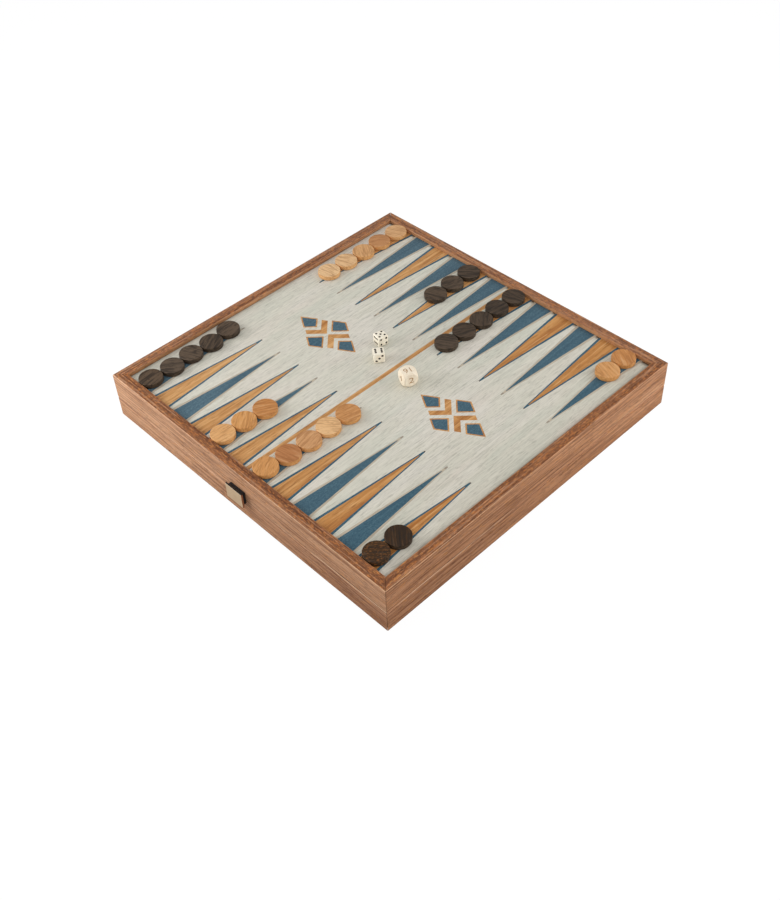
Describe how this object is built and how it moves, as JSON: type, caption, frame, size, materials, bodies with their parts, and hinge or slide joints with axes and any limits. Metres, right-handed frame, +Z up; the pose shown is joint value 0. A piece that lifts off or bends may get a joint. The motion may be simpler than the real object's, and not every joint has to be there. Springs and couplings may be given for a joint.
{
  "type": "backgammon set",
  "caption": "Square hinged wooden case whose recessed lid is an inlaid backgammon board, with checkers, dice and a doubling cube set out on their starting points.",
  "frame": {"origin": "centre of the case's underside, on the surface it stands on", "axes": "+Z up through the board, -Y towards the pull tab, +Y towards the hinges, +X to the right seen from the tab"},
  "size_m": [0.41, 0.4222, 0.0691],
  "materials": {
    "case_walnut": "walnut veneer, long grain along each rail, satin lacquer",
    "board_veneer": "bleached open-grain veneer with blue and oak inlay, matt lacquer",
    "bottom_veneer": "veneered panel, matt lacquer",
    "divider_wood": "veneered strip, matt lacquer",
    "light_checker": "light olive or oak wood, varied from piece to piece, satin",
    "dark_checker": "dark stained wood, satin",
    "dice_ivory": "ivory coloured, dark brown drilled pips",
    "cube_maple": "pale maple, engraved numbers",
    "tab_metal": "champagne plated, brushed face, polished edges",
    "hinge_brass": "satin",
    "magnet_nickel": "nickel plated",
    "screw_steel": "zinc plated"
  },
  "bodies": {
    "base": {"base_rail_front": "case_walnut", "base_rail_right": "case_walnut", "base_rail_back": "case_walnut", "base_rail_left": "case_walnut", "bottom_panel": "bottom_veneer", "divider_long": "divider_wood", "divider_left": "divider_wood", "divider_right": "divider_wood", "magnet_base_left": "magnet_nickel", "magnet_base_right": "magnet_nickel", "hinge_leaf_base_left": "hinge_brass", "hinge_leaf_base_right": "hinge_brass", "hinge_pin_left": "hinge_brass", "hinge_pin_right": "hinge_brass"},
    "lid": {"lid_rail_front": "case_walnut", "lid_rail_right": "case_walnut", "lid_rail_back": "case_walnut", "lid_rail_left": "case_walnut", "play_board": "board_veneer", "magnet_lid_left": "magnet_nickel", "magnet_lid_right": "magnet_nickel", "pull_tab": "tab_metal", "tab_screw_left": "screw_steel", "tab_screw_right": "screw_steel", "hinge_leaf_lid_left": "hinge_brass", "hinge_leaf_lid_right": "hinge_brass"},
    "checker_light_01": {"checker_light_01": "light_checker"},
    "checker_light_02": {"checker_light_02": "light_checker"},
    "checker_light_03": {"checker_light_03": "light_checker"},
    "checker_light_04": {"checker_light_04": "light_checker"},
    "checker_light_05": {"checker_light_05": "light_checker"},
    "checker_light_06": {"checker_light_06": "light_checker"},
    "checker_light_07": {"checker_light_07": "light_checker"},
    "checker_light_08": {"checker_light_08": "light_checker"},
    "checker_light_09": {"checker_light_09": "light_checker"},
    "checker_light_10": {"checker_light_10": "light_checker"},
    "checker_light_11": {"checker_light_11": "light_checker"},
    "checker_light_12": {"checker_light_12": "light_checker"},
    "checker_light_13": {"checker_light_13": "light_checker"},
    "checker_light_14": {"checker_light_14": "light_checker"},
    "checker_light_15": {"checker_light_15": "light_checker"},
    "checker_dark_01": {"checker_dark_01": "dark_checker"},
    "checker_dark_02": {"checker_dark_02": "dark_checker"},
    "checker_dark_03": {"checker_dark_03": "dark_checker"},
    "checker_dark_04": {"checker_dark_04": "dark_checker"},
    "checker_dark_05": {"checker_dark_05": "dark_checker"},
    "checker_dark_06": {"checker_dark_06": "dark_checker"},
    "checker_dark_07": {"checker_dark_07": "dark_checker"},
    "checker_dark_08": {"checker_dark_08": "dark_checker"},
    "checker_dark_09": {"checker_dark_09": "dark_checker"},
    "checker_dark_10": {"checker_dark_10": "dark_checker"},
    "checker_dark_11": {"checker_dark_11": "dark_checker"},
    "checker_dark_12": {"checker_dark_12": "dark_checker"},
    "checker_dark_13": {"checker_dark_13": "dark_checker"},
    "checker_dark_14": {"checker_dark_14": "dark_checker"},
    "checker_dark_15": {"checker_dark_15": "dark_checker"},
    "die_five": {"die_five": "dice_ivory"},
    "die_six": {"die_six": "dice_ivory"},
    "doubling_cube": {"doubling_cube": "cube_maple"}
  },
  "joints": [
    {"name": "lid_hinge", "type": "hinge", "parent": "base", "child": "lid", "pos_m": [0, 0.20835, 0.02545], "axis": [-1, 0, 0], "range_deg": [0, 100]},
    {"name": "lift_checker_light_01", "type": "slide", "parent": "lid", "child": "checker_light_01", "axis": [0, 0, 1], "range_m": [0, 0.06]},
    {"name": "lift_checker_light_02", "type": "slide", "parent": "lid", "child": "checker_light_02", "axis": [0, 0, 1], "range_m": [0, 0.06]},
    {"name": "lift_checker_light_03", "type": "slide", "parent": "lid", "child": "checker_light_03", "axis": [0, 0, 1], "range_m": [0, 0.06]},
    {"name": "lift_checker_light_04", "type": "slide", "parent": "lid", "child": "checker_light_04", "axis": [0, 0, 1], "range_m": [0, 0.06]},
    {"name": "lift_checker_light_05", "type": "slide", "parent": "lid", "child": "checker_light_05", "axis": [0, 0, 1], "range_m": [0, 0.06]},
    {"name": "lift_checker_light_06", "type": "slide", "parent": "lid", "child": "checker_light_06", "axis": [0, 0, 1], "range_m": [0, 0.06]},
    {"name": "lift_checker_light_07", "type": "slide", "parent": "lid", "child": "checker_light_07", "axis": [0, 0, 1], "range_m": [0, 0.06]},
    {"name": "lift_checker_light_08", "type": "slide", "parent": "lid", "child": "checker_light_08", "axis": [0, 0, 1], "range_m": [0, 0.06]},
    {"name": "lift_checker_light_09", "type": "slide", "parent": "lid", "child": "checker_light_09", "axis": [0, 0, 1], "range_m": [0, 0.06]},
    {"name": "lift_checker_light_10", "type": "slide", "parent": "lid", "child": "checker_light_10", "axis": [0, 0, 1], "range_m": [0, 0.06]},
    {"name": "lift_checker_light_11", "type": "slide", "parent": "lid", "child": "checker_light_11", "axis": [0, 0, 1], "range_m": [0, 0.06]},
    {"name": "lift_checker_light_12", "type": "slide", "parent": "lid", "child": "checker_light_12", "axis": [0, 0, 1], "range_m": [0, 0.06]},
    {"name": "lift_checker_light_13", "type": "slide", "parent": "lid", "child": "checker_light_13", "axis": [0, 0, 1], "range_m": [0, 0.06]},
    {"name": "lift_checker_light_14", "type": "slide", "parent": "lid", "child": "checker_light_14", "axis": [0, 0, 1], "range_m": [0, 0.06]},
    {"name": "lift_checker_light_15", "type": "slide", "parent": "lid", "child": "checker_light_15", "axis": [0, 0, 1], "range_m": [0, 0.06]},
    {"name": "lift_checker_dark_01", "type": "slide", "parent": "lid", "child": "checker_dark_01", "axis": [0, 0, 1], "range_m": [0, 0.06]},
    {"name": "lift_checker_dark_02", "type": "slide", "parent": "lid", "child": "checker_dark_02", "axis": [0, 0, 1], "range_m": [0, 0.06]},
    {"name": "lift_checker_dark_03", "type": "slide", "parent": "lid", "child": "checker_dark_03", "axis": [0, 0, 1], "range_m": [0, 0.06]},
    {"name": "lift_checker_dark_04", "type": "slide", "parent": "lid", "child": "checker_dark_04", "axis": [0, 0, 1], "range_m": [0, 0.06]},
    {"name": "lift_checker_dark_05", "type": "slide", "parent": "lid", "child": "checker_dark_05", "axis": [0, 0, 1], "range_m": [0, 0.06]},
    {"name": "lift_checker_dark_06", "type": "slide", "parent": "lid", "child": "checker_dark_06", "axis": [0, 0, 1], "range_m": [0, 0.06]},
    {"name": "lift_checker_dark_07", "type": "slide", "parent": "lid", "child": "checker_dark_07", "axis": [0, 0, 1], "range_m": [0, 0.06]},
    {"name": "lift_checker_dark_08", "type": "slide", "parent": "lid", "child": "checker_dark_08", "axis": [0, 0, 1], "range_m": [0, 0.06]},
    {"name": "lift_checker_dark_09", "type": "slide", "parent": "lid", "child": "checker_dark_09", "axis": [0, 0, 1], "range_m": [0, 0.06]},
    {"name": "lift_checker_dark_10", "type": "slide", "parent": "lid", "child": "checker_dark_10", "axis": [0, 0, 1], "range_m": [0, 0.06]},
    {"name": "lift_checker_dark_11", "type": "slide", "parent": "lid", "child": "checker_dark_11", "axis": [0, 0, 1], "range_m": [0, 0.06]},
    {"name": "lift_checker_dark_12", "type": "slide", "parent": "lid", "child": "checker_dark_12", "axis": [0, 0, 1], "range_m": [0, 0.06]},
    {"name": "lift_checker_dark_13", "type": "slide", "parent": "lid", "child": "checker_dark_13", "axis": [0, 0, 1], "range_m": [0, 0.06]},
    {"name": "lift_checker_dark_14", "type": "slide", "parent": "lid", "child": "checker_dark_14", "axis": [0, 0, 1], "range_m": [0, 0.06]},
    {"name": "lift_checker_dark_15", "type": "slide", "parent": "lid", "child": "checker_dark_15", "axis": [0, 0, 1], "range_m": [0, 0.06]},
    {"name": "lift_die_five", "type": "slide", "parent": "lid", "child": "die_five", "axis": [0, 0, 1], "range_m": [0, 0.06]},
    {"name": "lift_die_six", "type": "slide", "parent": "lid", "child": "die_six", "axis": [0, 0, 1], "range_m": [0, 0.06]},
    {"name": "lift_doubling_cube", "type": "slide", "parent": "lid", "child": "doubling_cube", "axis": [0, 0, 1], "range_m": [0, 0.06]}
  ]
}
